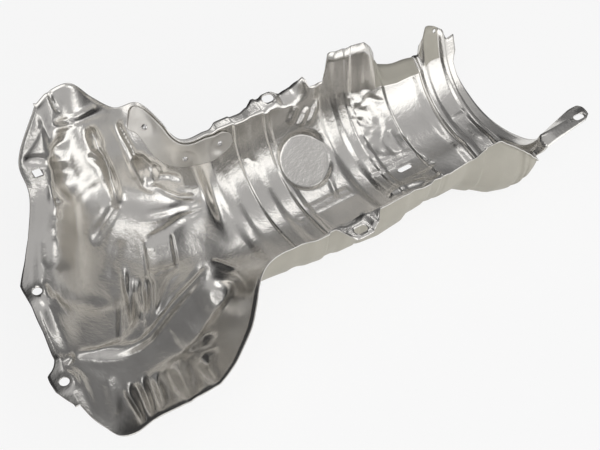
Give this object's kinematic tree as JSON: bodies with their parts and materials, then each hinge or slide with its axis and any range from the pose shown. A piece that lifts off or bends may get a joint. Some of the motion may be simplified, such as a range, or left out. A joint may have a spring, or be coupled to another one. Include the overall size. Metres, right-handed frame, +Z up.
{
  "type": "exhaust heat shield",
  "caption": "Pressed aluminium heat shield with a ribbed half-pipe trough, a wide creased bowl, mounting ears and a riveted strap.",
  "frame": {"origin": "middle of the shield's outline seen from above, on the surface it lies on", "axes": "+X along the trough to its open end with the arm, +Y to the far side with the tall tabs, +Z up out of the hollow side"},
  "size_m": [0.5846, 0.3367, 0.1062],
  "materials": {
    "sheet": "satin pressed aluminium inside, matt beige grey on the back",
    "strap": "matt grey sheet",
    "rivets": "satin domed heads"
  },
  "bodies": {
    "root": {"shield": "sheet", "strap": "strap", "rivet_left": "rivets", "rivet_middle": "rivets", "rivet_right": "rivets"}
  },
  "joints": []
}
